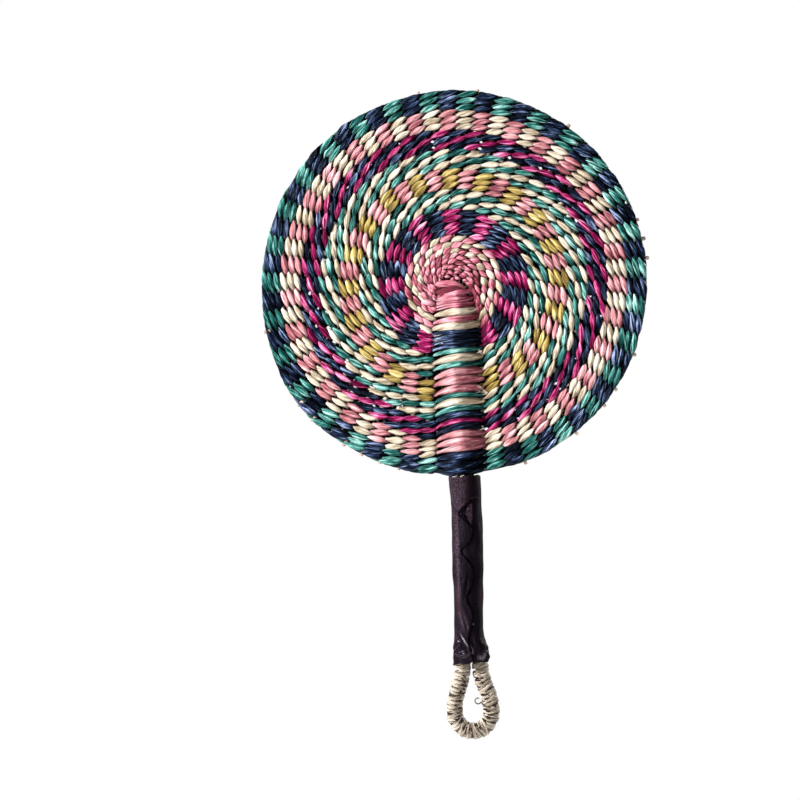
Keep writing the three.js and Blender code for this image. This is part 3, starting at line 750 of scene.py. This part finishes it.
def leather():
    turn = (2 * np.pi * np.arange(COLUMNS) / COLUMNS)[None]
    z = np.linspace(GRIP_TOP, GRIP_FOOT, ROWS)[:, None]
    left, right_edge = left_side(z), right_side(z)
    middle, half = (left + right_edge) / 2, (right_edge - left) / 2
    x = middle + half * np.sin(turn)
    ahead = step_at(np.cos(turn) - 0.22, 0.45)
    behind = 1 - ahead

    # The lapel at the top, and the scalloped lap below it with its groove and a strip of painted shade on
    # the lap's right
    off_lap = x - lap(z)
    below_lapel = lapel(x) - z
    upper = step_at(-below_lapel, 0.8)
    lower = 1 - upper
    lapped = lower * step_at(LAP_TOP - z, 2)
    over = step_at(-off_lap, 0.8) * step_at(below_lapel, 1.5)
    groove = np.exp(-((off_lap - 0.6) / 0.6) ** 2) * lapped
    lee = lapped * np.where(off_lap > 0, np.exp(-(off_lap / 2.2) ** 2), 0)
    crease = np.exp(-((below_lapel - 0.7) / 0.7) ** 2) * step_at(x_at(473, 500) - x, 3)
    crease = np.maximum(crease, 0.6 * np.exp(-((below_lapel - 0.4) / 0.35) ** 2))

    # The eye under the lapel, with the pit left of it
    pit = (step_at(x - hollow_left(z), 0.7) * step_at(eye_left(z) - x, 0.7) * step_at(z - z_at(471, 526), 1)
           * step_at(z_at(471, 500) - z, 1) * lower)
    in_eye = step_at(x - eye_left(z), 0.9) * step_at(eye_right(z) - x, 0.9) * step_at(z + 163.5, 2) * lower
    eye_line = np.exp(-((x - eye_right(z) - 0.3) / 0.4) ** 2) * step_at(z + 163, 2) * lower

    # The relief of the front
    ridge = np.exp(-((x - x_at(457.3, 530)) / 1.4) ** 2) * step_at(-153 - z, 6) * step_at(z + 215, 30)
    sag = (z - z_at(462, 657)) - 0.09 * (x - x_at(462.5, 657)) ** 2
    swag = 0.5 * np.exp(-(sag / 0.8) ** 2) - 0.6 * np.exp(-((sag - 1.5) / 0.9) ** 2)
    lapel_lift = 1.25 - step_at(x - x_at(469, 490), 7) - 0.9 * step_at(x_at(451.5, 490) - x, 3)
    relief = ahead * (over + upper * lapel_lift + 0.35 * in_eye - 0.7 * groove - 0.45 * crease - 0.9 * pit
                      - 0.35 * eye_line + 0.5 * ridge + spots(x, z, FOLDS)
                      + swag * spot(x, z, 463, 655, 6.2, 4.5))

    # Waves all round, wrinkles at the foot, a seam behind and uneven ends
    wave = (0.16 * np.sin(3 * turn + z * 0.11) + 0.13 * np.sin(5 * turn - z * 0.23 + 1.3)
            + 0.10 * np.sin(2 * turn + z * 0.37 + 0.6))
    foot = step_at(-240 - z, 10)
    wrinkles = foot * (0.3 * behind + 0.12) * (0.6 * np.sin(5 * turn + z * 0.9 + 0.8)
                                              + 0.6 * np.sin(9 * turn - z * 0.7))
    back_seam = behind * 0.5 * step_at(np.sin(turn + 0.5 + 0.3 * np.sin(z * 0.12)), 0.12)
    top_round = 0.5 * (1 - np.clip((GRIP_TOP - z) / 0.8, 0, 1) ** 0.5)
    lift = relief + wave + wrinkles + back_seam - top_round
    reach = half - 0.6 + lift
    depth = np.minimum(half, 11.2) - 1.0 + lift
    ragged = (0.75 * np.abs(np.sin(3.5 * turn + 0.6)) - 0.4) * np.exp((z - GRIP_TOP) / 2.5)
    hem = (1.5 * step_at(np.sin(turn) + 0.78, 0.3) + 0.3 * np.sin(5 * turn)
           + 0.25 * np.sin(9 * turn + 1)) * np.exp((GRIP_FOOT - z) / 4)

    outside = np.stack([middle + reach * np.sin(turn), -depth * np.cos(turn), z + ragged + hem], 2)
    inside = outside[::INSIDE_STEP].copy()
    inside[..., 0] = middle[::INSIDE_STEP] + (reach[::INSIDE_STEP] - SKIN) * np.sin(turn)
    inside[..., 1] = -(depth[::INSIDE_STEP] - SKIN) * np.cos(turn)
    points = np.concatenate([outside, inside])
    total = len(points)
    i, k = np.meshgrid(np.arange(total), np.arange(COLUMNS), indexing="ij")
    i, k = i.ravel(), k.ravel()
    ni, nk = (i + 1) % total, (k + 1) % COLUMNS
    faces = np.stack([i * COLUMNS + k, ni * COLUMNS + k, ni * COLUMNS + nk, i * COLUMNS + nk], 1)

    # Painted shade where the front is dark, wear and painted highlights where it is light, painted glints
    # where it gleams, and where it is smooth
    under = np.exp(-(np.maximum(below_lapel, 0) / 2.4) ** 2) * lower * step_at(x - x_at(459, 500), 2)
    painted_right_shade = (step_at(x - x_at(459.2, 530) - 0.25 * np.sin(z * 0.2), 1.5) * step_at(x_at(474, 530) - x, 8)
              * lower * step_at(z + 222, 30))
    # Painted shade: the side turned from the light, the groove, the lap's lee, the crease, the pit, the
    # lapel's shadow, the eye's line and the hollows at the foot
    dark = (0.88 * painted_right_shade * (1 - in_eye) + groove + 0.45 * lee + crease * lower + 1.3 * pit
            + 0.6 * under * step_at(x_at(472, 500) - x, 3) + eye_line + spots(x, z, SHADE_SPOTS))
    # Partly wear, partly painted highlight: the lapel and the eye are worn light, the ridge and the lapel's
    # edge carry painted highlights, and the lap's flap is lighter above
    wear_and_highlight = (0.7 * upper * step_at(x_at(467.5, 490) - x, 7) + 0.6 * np.exp(-((below_lapel + 0.5) / 0.5) ** 2)
            + 0.9 * in_eye + ridge + 0.3 * over * step_at(z + 190, 20))
    arc = (z - z_at(462, 656.5)) - 0.07 * (x - x_at(462.5, 657)) ** 2
    # Painted glints on the leather
    gleam = spots(x, z, GLINTS) + 0.05 * np.exp(-(arc / 0.9) ** 2) * spot(x, z, 465, 656, 4, 8)
    smooth = 0.6 * foot + spots(x, z, POLISH)

    def numbers(inside_value, outside_values):
        values = np.full(points.shape[:2], inside_value)
        values[:ROWS] = outside_values
        return values.ravel()

    return add_mesh("leather_wrap", points.reshape(-1, 3), faces, LEATHER,
                    shade=numbers(1.0, 1 - 0.9 * np.clip(ahead * dark, 0, 1)),
                    tone=numbers(0.0, np.clip(ahead * wear_and_highlight, 0, 1)),
                    rough=numbers(1.0, 1 - 0.9 * np.clip(smooth, 0, 1)),
                    gleam=numbers(0.0, np.clip(ahead * gleam, 0, 1)))


def leather_material():
    n = Nodes(bpy.data.materials.new("dark leather"))
    place = n.add("ShaderNodeTexCoord").outputs["Object"]
    pebble = n.add("ShaderNodeTexVoronoi", {"Vector": place, "Scale": 900.0}).outputs["Distance"]
    pores = n.noise(place, 1100.0, 4.0)
    clouds = n.noise(n.stretched(place, (1, 1, 0.5)), 110.0, 4.0, 0.6)
    wrinkle = n.noise(n.stretched(place, (1.0, 1.0, 0.3)), 300.0, 5.0, 1.2)
    base = n.ramp(clouds, (0.3, "09050a"), (0.55, "170c13"), (0.75, "291921"))
    # Wear and painted highlights, in one number, lighten the leather in pebbled specks
    wear_and_highlight = n.math("MULTIPLY", n.attribute("tone"), n.span(pebble, 0.15, 0.65, 0.9, 0.1))
    base = n.mix(wear_and_highlight, base, colour("4d3d46"))
    # Painted shade
    base = n.mix(1.0, base, n.grey(n.attribute("shade")), "MULTIPLY")
    # Painted glints, broken up by noise
    broken = n.span(n.noise(place, 900.0, 3.0), 0.38, 0.58, 0.15, 1.0)
    base = n.mix(n.math("MULTIPLY", n.attribute("gleam"), broken), base, colour("b9b2bc"))
    normal = n.bump(wrinkle, 0.5, 0.0012)
    grain = n.math("MULTIPLY", n.math("ADD", pebble, n.math("MULTIPLY", pores, 0.5)), n.attribute("rough"))
    normal = n.bump(grain, 0.4, 0.0004, normal)
    rough = n.span(n.attribute("rough"), 0.0, 1.0, 0.24, 0.56)
    rough = n.math("ADD", rough, n.span(clouds, 0.3, 0.7, -0.05, 0.05))
    return n.finish(base, rough, normal, 0.1, (0.75, 0.6, 0.95, 1))


LEATHER = leather_material()
grip = leather()
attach(grip, "root")
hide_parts("leather_grip")


# Hanging loop
CORE = 4.9                              # half the thickness of what the winding goes round


def bezier(*corners):
    a, b, c, d = (np.array(corner) for corner in corners)
    t = np.linspace(0, 1, 40, endpoint=False)[:, None]
    return (1 - t) ** 3 * a + 3 * t * (1 - t) ** 2 * b + 3 * t ** 2 * (1 - t) * c + t ** 3 * d


def loop_line():
    """The loop's middle line, evenly spaced, from inside the grip round to inside it again."""
    top, neck, bow = -247.0, -255.8, -287.3
    angle = np.linspace(np.pi, 2 * np.pi, 60)
    line = np.concatenate([
        np.linspace([-4.9, top], [-5.0, neck], 12, endpoint=False),
        bezier((-5.0, neck), (-5.0, -269.1), (-11.5, -274.0), (-11.5, bow)),
        np.stack([0.9 + 12.4 * np.cos(angle), bow + 13.3 * np.sin(angle)], 1)[:-1],
        bezier((13.3, bow), (13.3, -274.0), (6.8, -269.1), (6.8, neck)),
        np.linspace([6.8, neck], [4.9, top], 12)])
    run = np.concatenate([[0], np.cumsum(np.linalg.norm(np.diff(line, axis=0), axis=1))])
    even = np.linspace(0, run[-1], 400)
    return even, np.stack([np.interp(even, run, line[:, 0]), np.interp(even, run, line[:, 1])], 1)


winding = Bundle()
run, line = loop_line()
length = run[-1]
heading = unit(np.gradient(line, axis=0))


def round_loop(place, angle):
    """The loop's middle, the way along it and the way out of it, at angles round it."""
    base = [np.interp(place, run, line[:, k]) for k in (0, 1)]
    ahead = [np.interp(place, run, heading[:, k]) for k in (0, 1)]
    out = xyz(ahead[1] * np.cos(angle), -np.sin(angle), -ahead[0] * np.cos(angle))
    return xyz(base[0], 0, base[1]), xyz(ahead[0], 0, ahead[1]), out


def wrap(at, tilt, bend, distance, half_width, half_thickness, tone, roll):
    """One turn round the loop's core: at is its place along it, tilt and bend shift its front."""
    angle = np.linspace(0, 2 * np.pi, 33)
    place = at + tilt * np.cos(angle) + bend * np.abs(np.cos(angle)) * np.where(np.sin(angle) > 0, 1, -0.4)
    base, ahead, out = round_loop(np.clip(place, 0, length), angle)
    leaf = 0.9 + 0.1 * np.cos(2 * (angle - 1.57))
    # Painted shade along each wrap's edges draws the dark lines between wraps
    winding.add(base + out * (distance + 0.25 * np.sin(angle * 2))[:, None], out + roll * ahead,
                half_width * leaf, half_thickness, tone, 1.0, 12, 4)


# A sleeve under the winding, painted dark as the shade seen between the wraps, the wide wraps, and narrow
# ones across them
winding.add(xyz(line[:, 0], 0, line[:, 1])[60:-60:4], FRONT, CORE, CORE, 0.1, 0.2, 24)
place, hand = 7.5, 1
while place < length - 7.5:
    hand = -hand
    off_bottom = place / length - 0.5
    bottom, side = math.exp(-(off_bottom / 0.13) ** 2), math.tanh(off_bottom * 8)
    tilt = (hand * rng.uniform(0.5, 1.0) + 0.4 * max(side, 0)) * (1 - 0.3 * bottom)
    bend = side * rng.uniform(0.3, 1.1)
    wide = rng.uniform(1.75, 2.05) * (1 - 0.25 * bottom)
    tone = 0.57 + rng.normal(0, 0.1)
    wrap(place, tilt, bend, CORE + 0.06 * hand, wide, 0.5, tone, rng.uniform(0.22, 0.32))
    place += rng.uniform(2.5, 3.2) * (1 - 0.25 * bottom)
place = 9.0
while place < length - 8:
    hand = -hand
    wrap(place, hand * rng.uniform(1.8, 2.6), rng.uniform(-0.4, 0.8), CORE + 0.3 + rng.uniform(-0.05, 0.1),
         rng.uniform(0.8, 1.1), 0.42, 0.5 + rng.normal(0, 0.1), rng.uniform(-0.1, 0.2))
    place += rng.uniform(4.5, 8.0)
# Dark slivers on the wraps, painted shade for the gaps between them
for _ in range(110):
    at, start, hand = rng.uniform(12, length - 12), rng.uniform(0.1, 2.5), rng.choice([-1, 1])
    angle = start + np.linspace(0, rng.uniform(0.4, 0.85), 7)
    base, _, out = round_loop(at + hand * rng.uniform(0.3, 1.4) * np.cos(angle), angle)
    slim = 0.05 + rng.uniform(0.3, 0.6) * np.sin(np.linspace(0, np.pi, 7))
    winding.add(base + out * (CORE + 0.6), out, slim, 0.16, -0.3, 0.1, 6)
# The winding's curled end
turn = np.linspace(1.0, 5.9, 40)
swirl = 1.5 + 0.12 * turn
curl_x, curl_z = local(477.9, 700.6)
curl = xyz(curl_x + swirl * np.cos(turn), -1.0 - 0.3 * turn, curl_z + swirl * np.sin(turn))
tail = np.linspace(0, 1, 8)[1:, None]
tip = np.array([x_at(483, 704.5), -2.5, z_at(483, 704.5)])
curl = np.concatenate([curl, curl[-1] * (1 - tail) + tip * tail])
winding.add(curl, FRONT, 0.42, 0.3, 0.25, 0.7, 6)
winding_piece = winding.piece("loop_winding", STRAW["loop"])
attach(winding_piece, "root")
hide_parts("hanging_loop_winding")


# Loose ends of straw
tufts = Bundle()


def sliver(px, py, lean, length, width, high, tone):
    """One straw end lying on the weave, from a place in the picture, leaning by degrees above the right."""
    x, z = local(px, py)
    t = np.linspace(0, 1, 7)
    a = math.radians(lean)
    bend = 0.12 * length * t ** 2
    line = xyz(x + length * t * math.cos(a) - bend * math.sin(a), -high - 0.6 * t ** 2,
               z + length * t * math.sin(a) + bend * math.cos(a))
    thin = width * (1 - 0.85 * t)
    tufts.add(line, (0.0, -1.0, 0.1), thin, 0.5 * thin, tone, 1.0, 6)


for px, py, high in ((481, 352, 3.0), (481, 389, 3.0), (487, 393, 3.0), (483, 427, 3.0)):
    for _ in range(6):
        sliver(px + rng.normal(0, 1.0), py + rng.normal(0, 1.6), rng.uniform(125, 200),
               rng.uniform(2.5, 4.5), rng.uniform(0.3, 0.55), high, rng.uniform(0.4, 0.8))
for px, py, lean, length in ((434, 336.5, 2, 5), (436.5, 339, -14, 3), (435, 341.5, 4, 2.5),
                             (455, 330.5, 12, 2.2), (446, 337, 20, 3), (441, 344, 8, 3.5)):
    sliver(px, py, lean, length, 0.3, 6.8, 1.1)
for px, py, lean in ((452.5, 477, 8), (458, 476.8, -12), (460, 476.4, 12)):
    sliver(px, py, lean, 3.2, 0.45, 9.3, 0.8)
tuft_piece = tufts.piece("loose_straw_ends", STRAW["cream"])
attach(tuft_piece, "root")


# Carried-over solids
def paint(node, material):
    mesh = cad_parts[node].data
    mesh.materials.clear()
    mesh.materials.append(material)


def bundle_material(name, dark, middle, light):
    """Undyed stalks side by side, with painted shade where the weave covers them."""
    n = Nodes(bpy.data.materials.new(name))
    place = n.add("ShaderNodeTexCoord").outputs["Object"]
    fibre = n.noise(n.stretched(place, (900, 900, 25)), 1.0, 4.0)
    base = n.ramp(fibre, (0.25, dark), (0.5, middle), (0.75, light))
    z = n.add("ShaderNodeSeparateXYZ", {"Vector": place}).outputs["Z"]
    base = n.mix(1.0, base, n.grey(n.span(z, -0.072, -0.068, 1.0, 0.18)), "MULTIPLY")
    return n.finish(base, 0.6, n.bump(fibre, 0.6, 0.0006))


paint("handle_stick", bundle_material("stick wood", "5a4026", "8a6a42", "a98658"))
paint("hanging_loop_core", bundle_material("loop stalks", "2c2114", "58462e", "7c6848"))


# Stage and light
def stage_material():
    n = Nodes(bpy.data.materials.new("floor"))
    path = n.add("ShaderNodeLightPath").outputs
    seen = n.math("MAXIMUM", path["Is Camera Ray"],
                  n.math("MAXIMUM", path["Is Glossy Ray"], path["Is Transmission Ray"]))
    n.put((0.86, 0.86, 0.86, 1), n.shader.inputs["Base Color"])
    n.put(0.9, n.shader.inputs["Roughness"])
    n.put((1, 1, 1, 1), n.shader.inputs["Emission Color"])
    n.put(n.math("MULTIPLY", seen, 0.4), n.shader.inputs["Emission Strength"])
    return n.owner


floor_points = np.array([[-450, -500, -345], [450, -500, -345], [450, 240, -345], [-450, 240, -345]]) - EYE
floor = add_mesh("floor", floor_points, np.array([[0, 1, 2, 3]]), stage_material())
floor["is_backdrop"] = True

# The sky is white where it is seen, and dimmer as a light and in gloss.
world = bpy.data.worlds.new("world")
bpy.context.scene.world = world
sky = Nodes(world, "Background")
path = sky.add("ShaderNodeLightPath").outputs
seen = sky.math("MAXIMUM", path["Is Camera Ray"], path["Is Transmission Ray"])
mirrored = sky.span(path["Is Glossy Ray"], 0.0, 1.0, 1.0, 0.35)
sky.put(sky.math("MULTIPLY", sky.span(seen, 0.0, 1.0, 0.22, 1.0), mirrored), sky.shader.inputs["Strength"])
sky.put((1, 1, 1, 1), sky.shader.inputs["Color"])


def lamp(name, place, size, power):
    data = bpy.data.lights.new(name, "AREA")
    data.shape = "DISK"
    data.size = size
    data.energy = power
    made = bpy.data.objects.new(name, data)
    made.location = place
    made.rotation_euler = (-Vector(place)).to_track_quat("-Z", "Y").to_euler()
    bpy.context.scene.collection.objects.link(made)


lamp("key", (-1.95, -0.92, 0.8), 0.25, 132)
lamp("fill", (0.3, -2.0, 0.3), 0.8, 6)
lamp("back_left", (1.5, 1.5, 0.7), 0.6, 34)
lamp("back_right", (-1.2, 1.9, 0.4), 0.8, 14)

bpy.context.scene.view_settings.view_transform = "Standard"
low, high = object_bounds()
